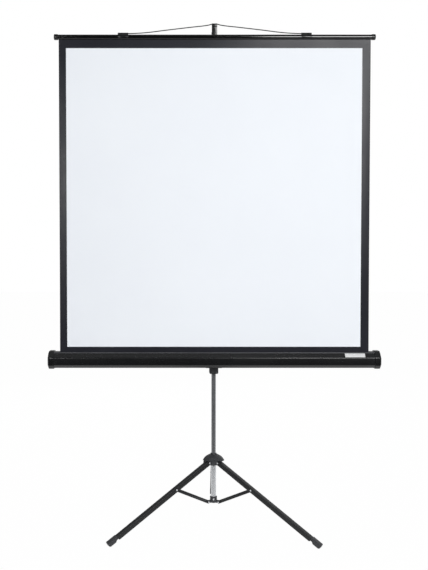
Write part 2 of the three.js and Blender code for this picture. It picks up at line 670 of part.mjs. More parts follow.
add('bracket_lock_knob', alongY(knob(mastRadius + gap, bracketDepthBehind + knobClear)).translate(0, 0, bracketKnobHeight),
  'blackPlastic');

// Upper stage of the mast with its lock collar and glide.
const barRadius = barDiameter / 2;
const barCentreZ = fabricTop - hemDepth + barRadius;
const wireRadius = wireDiameter / 2;
const noseTop = barCentreZ + bailRise - wireRadius - gap;
const extensionRadius = mastRadius - mastWall - stageClearance;
const extensionTop = noseTop - hookSocketDrop;
const extensionBottom = mastTop - extensionOverlap;
const topCollarRadius = mastRadius + slip + topCollarWall;
const collarTopZ = mastTop + topCollarLip;
const topCollar = turned([
  [mastRadius + slip, mastTop - topCollarGrip], [topCollarRadius - topCollarBreak, mastTop - topCollarGrip],
  [topCollarRadius, mastTop - topCollarGrip + topCollarBreak],
  [topCollarRadius, collarTopZ - topCollarCrown], [topCollarRadius - topCollarCrown, collarTopZ],
  [extensionRadius + slip, collarTopZ], [extensionRadius + slip, mastTop + gap], [mastRadius + slip, mastTop + gap],
  [mastRadius + slip, mastTop - topCollarGrip],
]);
const topKnobHeight = mastTop + topCollarLip / 2;
add('mast_top_collar', cut(topCollar, studHole.clone().translate(0, 0, topKnobHeight)), 'blackPlastic', mastGroup);
add('extension_lock_knob', alongY(knob(extensionRadius + gap, topCollarRadius + knobClear)).translate(0, 0, topKnobHeight),
  'blackPlastic');
add('extension_tube', ring(extensionRadius - extensionWall, extensionRadius, extensionBottom, extensionTop), 'steel');
const glideRadius = mastRadius - mastWall - slip;
add('extension_glide', turned([
  [0, extensionBottom - glideLength], [glideRadius - edgeBreak, extensionBottom - glideLength],
  [glideRadius, extensionBottom - glideLength + edgeBreak], [glideRadius, extensionBottom - gap],
  [extensionRadius - extensionWall - slip, extensionBottom - gap],
  [extensionRadius - extensionWall - slip, extensionBottom + glideLength], [0, extensionBottom + glideLength],
]), 'nylon');

// Bar with a groove for the fabric, and caps on its ends.
const barLength = fabricWidth + 2 * barOverhang;
const barGroup = new THREE.Group();
barGroup.position.set(0, fabricPlaneY, barCentreZ);
root.add(barGroup);
const barBore = barRadius - barWall;
const groove = box(-barLength, barLength, -barGrooveWidth / 2, barGrooveWidth / 2, -barRadius - over, 0);
const barTube = alongX(ring(barBore, barRadius, -barLength / 2, barLength / 2));
add('top_bar', cut(barTube, groove), 'blackPaint', barGroup);
const stemRadius = barBore - gap;
const barCapRadius = barRadius + barCapLip;
const barCap = alongX(turned([
  [0, barLength / 2 - barCapStem + gap], [stemRadius, barLength / 2 - barCapStem + gap],
  [stemRadius, barLength / 2 + gap], [barCapRadius, barLength / 2 + gap],
  [barCapRadius, barLength / 2 + barCapLength - barCapChamfer],
  [barCapRadius - barCapChamfer, barLength / 2 + barCapLength],
  [0, barLength / 2 + barCapLength],
], pinSides * 2));
add('bar_cap_right', barCap, 'blackPlastic', barGroup);
add('bar_cap_left', barCap.clone().rotateZ(Math.PI), 'blackPlastic', barGroup);

// Clips: saddles on the bar with an ear that holds the bail's end.
const eyeHeight = barRadius + gap + clipWall + clipEar / 2;
function clip() {
  const saddle = alongX(ring(barRadius + gap, barRadius + gap + clipWall, -clipLength / 2, clipLength / 2));
  const open = box(-clipLength, clipLength, -barDiameter, barDiameter, -barDiameter, -clipOpen);
  const ear = box(-clipLength / 2, clipLength / 2, -clipEar / 2, clipEar / 2, barRadius + gap + clipWall / 2,
    barRadius + gap + clipWall + clipEar);
  const eye = alongX(rod(wireRadius + slip, -clipLength, clipLength, pinSides)).translate(0, 0, eyeHeight);
  return cut(join(saddle, ear), open, eye);
}
add('bail_clip_left', clip().translate(-clipSpacing / 2, 0, 0), 'blackPlastic', barGroup);
add('bail_clip_right', clip().translate(clipSpacing / 2, 0, 0), 'blackPlastic', barGroup);

// Bail: one bent wire from eye to eye, rising to the hook in a flat curve.
const eyeEnd = clipSpacing / 2 + clipLength / 2 - wireShort;
function bailPoint(x, rise) {
  const share = (rise - eyeHeight) / (bailRise - eyeHeight);
  return new THREE.Vector3(x, bailSetBack * share, rise);
}
const bailPeakHalf = hookWidth / 2 + bailPeakSpare;
const innerEye = clipSpacing / 2 - clipLength / 2;
const swell = bailShoulder - eyeHeight;
const half = [
  [bailPeakHalf, bailRise], [bailPeakHalf + bailPeakSlope, bailShoulder],
  ...bailCurveShares.map(([way, share]) => [innerEye * way, eyeHeight + swell * share]),
  [innerEye - 2 * wireDiameter, eyeHeight], [innerEye + wireDiameter, eyeHeight], [eyeEnd, eyeHeight],
];
const bailPoints = [
  ...half.slice().reverse().map(([x, z]) => bailPoint(-x, z)),
  ...half.map(([x, z]) => bailPoint(x, z)),
];
// A smooth curve whose sections are spread evenly over its points, so that the flat peak stays flat.
class BentWire extends THREE.CatmullRomCurve3 {
  getPointAt(t) { return this.getPoint(t); }
  getTangentAt(t) { return this.getTangent(t); }
}
const bailCurve = new BentWire(bailPoints, false, 'centripetal');
const wireSection = new THREE.Shape().absarc(0, 0, wireRadius, 0, 2 * Math.PI, false);
const bail = new THREE.ExtrudeGeometry(wireSection, {
  steps: (bailPoints.length - 1) * bailSteps, extrudePath: bailCurve, curveSegments: 4,
});
add('bail_wire', bail, 'steel', barGroup);

// Hook: a socket on the upper stage, an arm forward, a post and a thin nose under the wire.
const wireY = fabricPlaneY + bailSetBack;
const noseEnd = wireY - wireRadius - hookReach;
const postFront = wireY + wireRadius + hookClear;
const socketRadius = extensionRadius + slip + hookSocketWall;
const armBottom = noseTop - hookNose - hookArmDrop;
const hookSide = shapeOf([
  [noseEnd, noseTop - hookNose], [postFront, noseTop - hookNose], [postFront, armBottom],
  [0, armBottom - hookArmThickness], [0, armBottom + hookArmThickness],
  [postFront + hookPostDepth, armBottom + hookArmThickness],
  [postFront + hookPostDepth, noseTop + hookLip], [postFront, noseTop + hookLip], [postFront, noseTop],
  [noseEnd + hookLipThickness, noseTop], [noseEnd + hookLipThickness, noseTop + hookLip], [noseEnd, noseTop + hookLip],
]);
const hookArm = new THREE.ExtrudeGeometry(hookSide, { depth: hookWidth, bevelEnabled: false })
  .translate(0, 0, -hookWidth / 2).applyMatrix4(
    new THREE.Matrix4().makeBasis(new THREE.Vector3(0, 1, 0), new THREE.Vector3(0, 0, 1), new THREE.Vector3(1, 0, 0)));
const socketTop = extensionTop + hookCrown;
const socketBody = rod(socketRadius, extensionTop - hookSocket, socketTop);
const socketBore = rod(extensionRadius + slip, extensionTop - hookSocket - over, extensionTop + gap);
add('extension_hook', cut(join(hookArm, socketBody), socketBore), 'blackPlastic');

// Stand the part on the floor with its footprint centred on the origin.
root.updateMatrixWorld(true);
const bounds = new THREE.Box3().setFromObject(root, true);
root.position.set(-(bounds.min.x + bounds.max.x) / 2, -(bounds.min.y + bounds.max.y) / 2, -bounds.min.z);
root.name = 'tripod_projection_screen';
root.updateMatrixWorld(true);

export default root;
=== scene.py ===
import json
import math

import bmesh
import bpy
from mathutils import Matrix, Vector


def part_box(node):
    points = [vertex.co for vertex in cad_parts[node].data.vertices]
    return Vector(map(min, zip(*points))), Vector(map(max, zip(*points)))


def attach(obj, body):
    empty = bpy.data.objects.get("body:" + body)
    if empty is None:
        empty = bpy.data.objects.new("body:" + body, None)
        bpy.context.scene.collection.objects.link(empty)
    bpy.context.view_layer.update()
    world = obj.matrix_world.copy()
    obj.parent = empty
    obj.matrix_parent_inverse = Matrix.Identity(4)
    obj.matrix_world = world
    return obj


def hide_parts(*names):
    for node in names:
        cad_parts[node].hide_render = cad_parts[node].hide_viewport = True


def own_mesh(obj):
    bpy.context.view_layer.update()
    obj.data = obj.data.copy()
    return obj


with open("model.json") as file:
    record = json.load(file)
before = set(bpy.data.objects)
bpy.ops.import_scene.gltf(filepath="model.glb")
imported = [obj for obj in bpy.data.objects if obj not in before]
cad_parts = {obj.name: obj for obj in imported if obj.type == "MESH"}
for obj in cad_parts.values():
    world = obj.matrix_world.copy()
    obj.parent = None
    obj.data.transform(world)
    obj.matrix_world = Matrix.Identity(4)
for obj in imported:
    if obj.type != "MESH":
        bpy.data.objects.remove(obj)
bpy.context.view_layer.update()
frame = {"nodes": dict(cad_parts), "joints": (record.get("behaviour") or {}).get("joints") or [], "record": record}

mm = 0.001
scene = bpy.context.scene
behaviour = frame["record"]["behaviour"]
nodeBody = {node: body for body, nodes in behaviour["bodies"].items() for node in nodes}
jointAt = {row["name"]: row.get("pos_m") for row in behaviour["joints"]}


def linear(code):  # sRGB hex to linear RGBA
    shares = [int(code[i:i + 2], 16) / 255 for i in (1, 3, 5)]
    return [c / 12.92 if c <= 0.04045 else ((c + 0.055) / 1.055) ** 2.4 for c in shares] + [1.0]


def addNode(tree, kind, inputs, **settings):
    node = tree.nodes.new(kind)
    for key, value in settings.items():
        setattr(node, key, value)
    for key, value in inputs.items():
        if isinstance(value, bpy.types.NodeSocket):
            tree.links.new(value, node.inputs[key])
        else:
            node.inputs[key].default_value = value
    return node


def startMaterial(name, values):  # a material and its shader, with the values that are the same all over it
    material = bpy.data.materials.new(name)
    material.use_nodes = True
    shader = material.node_tree.nodes["Principled BSDF"]
    for key, value in values.items():
        shader.inputs[key].default_value = value
    return material, material.node_tree, shader


def joinShader(tree, shader, look, colour, patches, height):  # gloss varies with the patches of tone
    gloss = addNode(tree, "ShaderNodeMapRange", {
        "Value": patches, "From Min": 0.3, "From Max": 0.7,
        "To Min": look["roughness"][0], "To Max": look["roughness"][1]})
    bump = addNode(tree, "ShaderNodeBump", {
        "Height": height, "Strength": look["bump"], "Distance": look["depth"] * mm})
    tree.links.new(colour, shader.inputs["Base Color"])
    tree.links.new(gloss.outputs["Result"], shader.inputs["Roughness"])
    tree.links.new(bump.outputs["Normal"], shader.inputs["Normal"])


# A surface with uneven tone, a fine grain and lighter worn edges. Sizes are in millimetres.
def makeFinish(name, look):
    material, tree, shader = startMaterial(name, look["shader"])
    place = addNode(tree, "ShaderNodeTexCoord", {})
    lay = addNode(tree, "ShaderNodeMapping", {
        "Vector": place.outputs["Object"], "Scale": look.get("stretch", (1, 1, 1))})
    patches = addNode(tree, "ShaderNodeTexNoise", {
        "Vector": lay.outputs["Vector"], "Scale": 1 / (look["patch"] * mm), "Detail": 3.0})
    tone = addNode(tree, "ShaderNodeMix", {
        0: patches.outputs["Fac"], 6: linear(look["colour"]), 7: linear(look["uneven"])}, data_type="RGBA")
    shape = addNode(tree, "ShaderNodeNewGeometry", {})
    edges = addNode(tree, "ShaderNodeMapRange", {
        "Value": shape.outputs["Pointiness"], "From Min": 0.52, "From Max": 0.62, "To Max": look["wear"]})
    worn = addNode(tree, "ShaderNodeMix", {
        0: edges.outputs["Result"], 6: tone.outputs[2], 7: linear(look["worn"])}, data_type="RGBA")
    grain = addNode(tree, "ShaderNodeTexNoise", {
        "Vector": lay.outputs["Vector"], "Scale": 1 / (look["grain"] * mm), "Detail": 2.0})
    joinShader(tree, shader, look, worn.outputs[2], patches.outputs["Fac"], grain.outputs["Fac"])
    return material


# A woven cloth with uneven tone and the weave just felt. Sizes are in millimetres.
def makeCloth(name, look):
    material, tree, shader = startMaterial(name, look["shader"])
    place = addNode(tree, "ShaderNodeTexCoord", {})
    patches = addNode(tree, "ShaderNodeTexNoise", {
        "Vector": place.outputs["Object"], "Scale": 1 / (look["patch"] * mm), "Detail": 2.0})
    tone = addNode(tree, "ShaderNodeMix", {
        0: patches.outputs["Fac"], 6: linear(look["colour"]), 7: linear(look["uneven"])}, data_type="RGBA")
    repeat = 2 * math.pi / 20  # the length at which the wave texture repeats, at a scale of 1
    pitch = repeat / (look["thread"] * mm)
    weft, warp = [addNode(tree, "ShaderNodeTexWave", {
        "Vector": place.outputs["Object"], "Scale": pitch, "Distortion": 0.4, "Detail": 1.0},
        wave_type="BANDS", bands_direction=direction) for direction in ("Z", "X")]
    weave = addNode(tree, "ShaderNodeMath", {
        0: weft.outputs["Fac"], 1: warp.outputs["Fac"]}, operation="MULTIPLY")
    joinShader(tree, shader, look, tone.outputs[2], patches.outputs["Fac"], weave.outputs["Value"])
    return material


# Glass-filled nylon, moulded against a spark-eroded tool: near black, satin, with a fine pebble.
mouldedNylon = makeFinish("moulded black nylon", {
    "colour": "#2d2e31", "uneven": "#37383c", "worn": "#4a4b4e", "wear": 0.4, "patch": 45, "grain": 1.6,
    "bump": 0.25, "depth": 0.12, "roughness": (0.4, 0.52), "shader": {"IOR": 1.53},
})  # the real pebble is about 0.2 mm, drawn coarser so that it shows

# Polished black plastic of the caps, clips and hook: deeper and glossier than the nylon.
polishedBlack = makeFinish("polished black plastic", {
    "colour": "#0e0f10", "uneven": "#141516", "worn": "#2c2d2f", "wear": 0.3, "patch": 40, "grain": 3,
    "bump": 0.02, "depth": 0.05, "roughness": (0.2, 0.28), "shader": {"IOR": 1.53},
})

# Steel with a baked black enamel: smoother and glossier than the nylon, with a slight orange peel.
bakedEnamel = makeFinish("baked black enamel", {
    "colour": "#0c0d0f", "uneven": "#121315", "worn": "#333436", "wear": 0.35, "patch": 160, "grain": 5,
    "bump": 0.02, "depth": 0.05, "roughness": (0.24, 0.3),
    "shader": {"IOR": 1.52, "Coat Weight": 0.15, "Coat Roughness": 0.15},
})

# The same enamel made greyer and duller: a painted highlight, the bright line along the slot's front lip.
paintedHighlightEnamel = makeFinish("black enamel with painted highlight", {
    "colour": "#47484c", "uneven": "#4e4f53", "worn": "#626367", "wear": 0.3, "patch": 90, "grain": 4,
    "bump": 0.03, "depth": 0.05, "roughness": (0.36, 0.44), "shader": {"IOR": 1.5},
})

# Extruded aluminium bar, dyed black and sealed: very dark, with a narrow bright line where a lamp shows.
anodisedBar = makeFinish("black anodised aluminium", {
    "colour": "#060607", "uneven": "#09090a", "worn": "#1c1c1e", "wear": 0.3, "patch": 120, "grain": 3,
    "bump": 0.01, "depth": 0.05, "roughness": (0.1, 0.14), "shader": {"IOR": 1.7},
})

# Powder-coated steel channel: a drier black than the enamel, with a little sparkle on its folds.
powderCoat = makeFinish("black powder coat", {
    "colour": "#17181a", "uneven": "#1f2022", "worn": "#4c4e51", "wear": 0.5, "patch": 70, "grain": 2.2,
    "bump": 0.2, "depth": 0.1, "roughness": (0.38, 0.5), "shader": {"IOR": 1.5},
})

# Drawn steel tube under a thin clear lacquer: grey and dull, with faint lines along the draw.
drawnTube = makeFinish("grey lacquered steel tube", {
    "colour": "#96989b", "uneven": "#8e9093", "worn": "#a4a6a9", "wear": 0.2, "patch": 30, "grain": 2,
    "bump": 0.04, "depth": 0.05, "roughness": (0.4, 0.48), "stretch": (1, 1, 0.02),
    "shader": {"Metallic": 0.95},
})

# Bright nickel plating on the rivets and the sleeve: light, clean reflections, softened by the drawing lines.
nickelPlate = makeFinish("bright nickel plate", {
    "colour": "#dadcde", "uneven": "#d4d6d9", "worn": "#dcddde", "wear": 0.2, "patch": 40, "grain": 1.5,
    "bump": 0.02, "depth": 0.05, "roughness": (0.3, 0.38), "stretch": (1, 1, 0.05),
    "shader": {"Metallic": 0.6},
})

# Hardened spring wire, blued in the oven and oiled: dark grey with a sharp narrow shine.
bluedWire = makeFinish("blued spring wire", {
    "colour": "#26282b", "uneven": "#212325", "worn": "#3a3c3f", "wear": 0.2, "patch": 15, "grain": 1,
    "bump": 0.04, "depth": 0.03, "roughness": (0.28, 0.36), "stretch": (0.05, 1, 1),
    "shader": {"Metallic": 1.0},
})

# Unfilled nylon, turned or moulded smooth: dark grey and waxy.
waxyNylon = makeFinish("dark turned nylon", {
    "colour": "#2b2c2e", "uneven": "#333436", "worn": "#454648", "wear": 0.3, "patch": 12, "grain": 0.8,
    "bump": 0.1, "depth": 0.05, "roughness": (0.45, 0.55),
    "shader": {"IOR": 1.53, "Subsurface Weight": 0.05},
})

# White polyester film with a blank face and a soft gloss.
blankFilm = makeFinish("blank white polyester film", {
    "colour": "#e8e9ea", "uneven": "#e2e3e4", "worn": "#f0f0f0", "wear": 0.3, "patch": 25, "grain": 1,
    "bump": 0.05, "depth": 0.03, "roughness": (0.3, 0.4), "shader": {"IOR": 1.57},
})

# Woven glass-fibre cloth with a matt vinyl face: dull, even and a little cool.
whiteCloth = makeCloth("matt white vinyl cloth", {
    "colour": "#eef2f7", "uneven": "#e9edf3", "patch": 420, "thread": 2.4, "bump": 0.06, "depth": 0.15,
    "roughness": (0.85, 0.95), "shader": {"IOR": 1.45},
})  # the real thread is about 0.5 mm, drawn coarser so that it shows

# Black ink printed on the same cloth: smoother than the white, so that it takes a sheen.
borderInk = makeCloth("black printed border", {
    "colour": "#1f2026", "uneven": "#24252d", "patch": 180, "thread": 2.4, "bump": 0.1, "depth": 0.12,
    "roughness": (0.27, 0.33), "shader": {"IOR": 1.37},
})
print("finishes:", len(bpy.data.materials))


# Mesh makers. Points are in metres in the row frame unless a matrix places them. The settings weld, nodeWeld
# and speck are the distances in metres under which points become one. The settings flat and smooth are the
# angles in degrees under which faces become one or shade as one.
meshLook = {"weld": 1e-6, "nodeWeld": 2e-5, "speck": 5e-6, "flat": 1, "smooth": 40, "edgeSteps": 3}


def addPiece(name, verts, faces, finish, nodes, matrix=Matrix(), smooth=35):
    mesh = bpy.data.meshes.new(name)
    mesh.from_pydata([matrix @ Vector(v) for v in verts], [], faces)
    work = bmesh.new()
    work.from_mesh(mesh)
    bmesh.ops.remove_doubles(work, verts=work.verts, dist=meshLook["weld"])
    bmesh.ops.recalc_face_normals(work, faces=work.faces)
    work.to_mesh(mesh)
    work.free()
    return settle(name, mesh, finish, nodes, smooth)


def settle(name, mesh, finish, nodes, smooth):  # finishes a mesh as the piece that stands for the nodes
    mesh.materials.clear()
    mesh.materials.append(finish)
    mesh.polygons.foreach_set("use_smooth", [True] * len(mesh.polygons))
    mesh.set_sharp_from_angle(angle=math.radians(smooth))
    piece = bpy.data.objects.new(name, mesh)
    scene.collection.objects.link(piece)
    if nodes:
        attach(piece, nodeBody[nodes[0]])
        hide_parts(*nodes)
    return piece


def drawnMesh(draft):  # the mesh that an object shows, taken from it before it is removed
    scene.collection.objects.link(draft)
    mesh = bpy.data.meshes.new_from_object(draft.evaluated_get(bpy.context.evaluated_depsgraph_get()))
    bpy.data.objects.remove(draft)
    return mesh


# A moulded or pressed piece: the node's own form with its flat faces made whole and its edges rounded.
def rounded(name, node, finish, edge, fold=28):
    mesh = frame["nodes"][node].data.copy()
    work = bmesh.new()
    work.from_mesh(mesh)
    bmesh.ops.remove_doubles(work, verts=work.verts, dist=meshLook["nodeWeld"])
    flat = math.radians(meshLook["flat"])
    bmesh.ops.dissolve_limit(work, angle_limit=flat, verts=work.verts, edges=work.edges)
    work.to_mesh(mesh)
    work.free()
    draft = bpy.data.objects.new(name + "_draft", mesh)
    bevel = draft.modifiers.new("edge", "BEVEL")
    bevel.limit_method = "ANGLE"
    bevel.angle_limit = math.radians(fold)
    bevel.width = edge * mm
    bevel.segments = meshLook["edgeSteps"]
    bevel.use_clamp_overlap = True
    made = drawnMesh(draft)
    made.name = name
    work = bmesh.new()
    work.from_mesh(made)
    bmesh.ops.remove_doubles(work, verts=work.verts, dist=meshLook["speck"])
    bmesh.ops.dissolve_degenerate(work, edges=work.edges, dist=meshLook["speck"])
    work.to_mesh(made)
    work.free()
    return settle(name, made, finish, [node], meshLook["smooth"])


# Rounds the corners of a flat outline of (a, b, radius) points.
def eased(points, steps, closed=True):
    out = []
    most = 0.45  # of a side, so that the rounds of its two ends stay apart
    count = len(points)
    for i, (a, b, radius) in enumerate(points):
        if radius <= 0 or (not closed and i in (0, count - 1)):
            out.append(Vector((a, b)))
            continue
        corner = Vector((a, b))
        before = Vector(points[i - 1][:2]) - corner
        after = Vector(points[(i + 1) % count][:2]) - corner
        turn = math.pi - before.angle(after)
        reach = min(radius * math.tan(turn / 2), before.length * most, after.length * most)
        start, end = corner + before.normalized() * reach, corner + after.normalized() * reach
        for k in range(steps + 1):
            t = k / steps
            out.append(start * (1 - t) ** 2 + corner * 2 * t * (1 - t) + end * t ** 2)
    return out


def lofted(loops, closeEnds=True):  # closed loops of equal count, joined in order
    count = len(loops[0])
    verts = [point for loop in loops for point in loop]
    faces = []
    for row in range(len(loops) - 1):
        for i in range(count):
            j = (i + 1) % count
            faces.append((row * count + i, row * count + j, (row + 1) * count + j, (row + 1) * count + i))
    if closeEnds:
        faces.append(tuple(range(count))[::-1])
        faces.append(tuple(range((len(loops) - 1) * count, len(loops) * count)))
    return verts, faces


# Turns (radius, height) points about Z. A ring joins the last to the first.
def spun(profile, steps=64, ring=False):
    tip = 0.1 * mm  # a point on the axis becomes a tiny flat
    turns = [2 * math.pi * i / steps for i in range(steps)]
    loops = [[(max(r, tip) * math.cos(t), max(r, tip) * math.sin(t), h) for t in turns] for r, h in profile]
    if ring:
        return lofted(loops + loops[:1], closeEnds=False)
    return lofted(loops)


def tubeProfile(inner, outer, low, high, lip):  # a tube with slightly broken edges
    lip *= mm
    return [(inner, low), (outer - lip, low), (outer, low + lip), (outer, high - lip), (outer - lip, high),
            (inner, high)]


def quarterRound(radius, steps=6):  # (inward, back) from a rim to a face, in millimetres
    turns = [math.pi / 2 * k / steps for k in range(steps + 1)]
    return [(radius * (1 - math.cos(t)), radius * (1 - math.sin(t))) for t in turns]


def along(direction, origin):  # places +Z along a direction from an origin
    turn = Vector((0, 0, 1)).rotation_difference(Vector(direction)).to_matrix().to_4x4()
    return Matrix.Translation(Vector(origin)) @ turn


def middle(node):
    low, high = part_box(node)
    return (low + high) / 2


def evenly(low, high, count):  # a number of equal steps from low to high
    return [low + (high - low) * k / count for k in range(count + 1)]


# Mast, sleeve and upper stage
mastLook = {"wall": 1.2, "lip": 0.5}
mastY = middle("mast_tube").y
for name, node, finish in (("mast", "mast_tube", drawnTube), ("upper_stage", "extension_tube", drawnTube),
                           ("sleeve", "stop_sleeve", nickelPlate)):
    low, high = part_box(node)
    outer = (high.x - low.x) / 2
    profile = tubeProfile(outer - mastLook["wall"] * mm, outer, low.z, high.z, mastLook["lip"])
    verts, faces = spun(profile, ring=True)
    addPiece(name, verts, faces, finish, [node], Matrix.Translation((0, mastY, 0)))

rounded("mast_end_plug", "mast_foot_plug", mouldedNylon, edge=0.6)
rounded("brace_collar", "lower_collar", mouldedNylon, edge=1.0)
rounded("stage_collar", "mast_top_collar", mouldedNylon, edge=1.2)
rounded("stage_glide", "extension_glide", waxyNylon, edge=0.5)
rounded("leg_hub", "tripod_hub", mouldedNylon, edge=1.4, fold=35)
rounded("case_carrier", "mast_bracket", mouldedNylon, edge=2.0)
rounded("bail_hook", "extension_hook", polishedBlack, edge=1.5)
rounded("swivel_plate", "pivot_plate", bakedEnamel, edge=1.0)
rounded("swivel_washer", "pivot_washer", waxyNylon, edge=0.4)
rounded("swivel_bolt", "pivot_bolt", drawnTube, edge=0.5)
print("mast and mouldings made")


# Rivets and pins: domed heads on both ends, and a spacer on each side of the brace at the knees. The halves
# are of the length under the heads.
rivetLook = {"shaft": 3.0, "head": 4.5, "dome": 1.6, "domeSteps": 5, "steps": 24, "spacer": 5.0,
             "kneeSpacers": [(2.3, 11.2), (-11.2, -2.3)], "collarHalf": 17.8,
             "halves": {"hub_pin": 15.8, "knee_rivet": 13.3, "brace_rivet": 6.8}}
legTurns = {"left": 208.5, "right": 328.5, "rear": 88.5}  # the tripod stands a little turned under the screen


def rivetProfile(half, spacers):
    shaft, spacer, steps = rivetLook["shaft"], rivetLook["spacer"], rivetLook["domeSteps"]
    turns = [t * math.pi / 2 / steps for t in range(steps + 1)]
    dome = [(rivetLook["head"] * math.sin(t), rivetLook["dome"] * math.cos(t)) for t in turns]
    upper = [(r, half + h) for r, h in dome] + [(shaft, half)]
    body = []
    for inner, outer in spacers:
        body += [(shaft, outer), (spacer, outer), (spacer, inner), (shaft, inner)]
    lower = [(r, -h) for r, h in reversed(upper)]
    return [(r * mm, h * mm) for r, h in upper + body + lower]


for side, azimuth in legTurns.items():
    across = (-math.sin(math.radians(azimuth)), math.cos(math.radians(azimuth)), 0)
    for kind, half in rivetLook["halves"].items():
        node = kind + "_" + side
        spacers = rivetLook["kneeSpacers"] if kind == "knee_rivet" else []
        verts, faces = spun(rivetProfile(half, spacers), rivetLook["steps"])
        addPiece(kind + "_domed_" + side, verts, faces, nickelPlate, [node], along(across, middle(node)))
verts, faces = spun(rivetProfile(rivetLook["collarHalf"], []), rivetLook["steps"])
addPiece("collar_rivet_domed", verts, faces, nickelPlate, ["collar_rivet"],
         along((0, 1, 0), middle("collar_rivet")))


# Legs: folded channels, round at the hub and cut back under the foot
legLook = {"pivotRadius": 30, "pivotHeight": 328, "kneeRadius": 214, "kneeHeight": 218.5, "width": 26,
           "depth": 21, "wall": 1.5, "fold": 3.0, "rim": 0.5, "footLength": 54, "corner": 6, "toeCut": 10.5,
           "webShare": 0.4, "foldShare": 0.35, "innerFold": 0.5,  # shares hold where the section gets shallow
           "roundTurns": range(80, -1, -10), "straightAt": (0.1, 0.3, 0.5, 0.7, 0.9, 1.0),
           "cutAt": (0.4, 0.7, 0.9, 1.0)}
fall, run = legLook["pivotHeight"] - legLook["kneeHeight"], legLook["kneeRadius"] - legLook["pivotRadius"]
pitch = math.atan2(fall, run)
reach = legLook["pivotHeight"] / math.sin(pitch) - legLook["toeCut"]
channelEnd = reach - legLook["footLength"]
legHalf, legSide = legLook["depth"] / 2, legLook["width"] / 2
legInner = legSide - legLook["wall"]


def channelSection(x, top, bottom):
    web = min(legLook["wall"], (top - bottom) * legLook["webShare"])
    fold = min(legLook["fold"], (top - bottom) * legLook["foldShare"])
    rim, innerFold = legLook["rim"], fold * legLook["innerFold"]
    outline = eased([(-legSide, bottom, rim), (-legSide, top, fold), (legSide, top, fold),
                     (legSide, bottom, rim), (legInner, bottom, rim), (legInner, top - web, innerFold),
                     (-legInner, top - web, innerFold), (-legInner, bottom, rim)], steps=3)
    return [(x * mm, y * mm, z * mm) for y, z in outline]


stations = []
for degrees in legLook["roundTurns"]:  # the round end about the hub pin
    turn = math.radians(degrees)
    stations.append((-legHalf * math.sin(turn), legHalf * math.cos(turn), -legHalf * math.cos(turn)))
cut = legLook["corner"]
cutStart = channelEnd - cut
stations += [(cutStart * share, legHalf, -legHalf) for share in legLook["straightAt"]]
stations += [(cutStart + cut * share, legHalf, cut * (1 - math.sqrt(1 - share ** 2)) - legHalf)
             for share in legLook["cutAt"]]
for side, azimuth in legTurns.items():
    arm = Matrix.Translation((0, mastY, legLook["pivotHeight"] * mm))
    arm = arm @ Matrix.Rotation(math.radians(azimuth), 4, "Z")
    arm = arm @ Matrix.Translation((legLook["pivotRadius"] * mm, 0, 0)) @ Matrix.Rotation(pitch, 4, "Y")
    verts, faces = lofted([channelSection(*station) for station in stations])
    addPiece("leg_channel_" + side, verts, faces, powderCoat, ["leg_" + side], arm)
    rounded("leg_shoe_" + side, "foot_" + side, mouldedNylon, edge=1.6)
    rounded("leg_brace_" + side, "brace_" + side, powderCoat, edge=0.7)
print("tripod made")


# Hand knobs: five soft lobes on a neck and a stud, one skin from tip to face. The stud's tip and the neck's
# start are measured from the mast's axis.
knobLook = {"radius": 15, "lobe": 2.5, "lobes": 5, "length": 13, "neck": 9, "neckRadius": 5.4, "stud": 3,
            "points": 60}
knobs = {"hub": {"turn": 138, "tip": 11.3, "start": 35.0},
         "bracket": {"turn": 90, "tip": 11.3, "start": 20.0},
         "extension": {"turn": 90, "tip": 9.6, "start": 19.0}}


def knobLoop(height, scale, lobed):
    loop = []
    for i in range(knobLook["points"]):
        turn = 2 * math.pi * i / knobLook["points"]
        wave = knobLook["lobe"] * (math.cos(knobLook["lobes"] * turn) - 1) * lobed
        r = (knobLook["radius"] + wave) * scale
        loop.append((r * math.cos(turn) * mm, r * math.sin(turn) * mm, height * mm))
    return loop


def knobRings(tip, start):  # height, share of the radius and share of the lobes, from the stud to the face
    stud, neck = knobLook["stud"] / knobLook["radius"], knobLook["neckRadius"] / knobLook["radius"]
    grip = start + knobLook["neck"]
    face = grip + knobLook["length"]
    shank = [(tip, stud * 0.8, 0), (tip + 0.6, stud, 0), (start, stud, 0), (start, neck, 0),
             (grip - 1.2, neck, 0), (grip, neck * 1.15, 0.1)]
    lobes = [(grip, 0.88, 1), (grip + 0.6, 0.96, 1), (grip + 2, 1.0, 1), (face - 3, 1.0, 1),
             (face - 1.2, 0.965, 1), (face - 0.3, 0.89, 1)]
    dish = [(face, 0.8, 0.9), (face, 0.45, 0.3), (face - 0.8, 0.4, 0), (face - 0.8, 0.05, 0)]
    return shank + lobes + dish


for place, look in knobs.items():
    turn = math.radians(look["turn"])
    verts, faces = lofted([knobLoop(*ring) for ring in knobRings(look["tip"], look["start"])])
    addPiece(place + "_hand_knob", verts, faces, mouldedNylon, [place + "_lock_knob"],
             along((math.cos(turn), math.sin(turn), 0), jointAt[place + "_knob_turn"]))
print("knobs made")


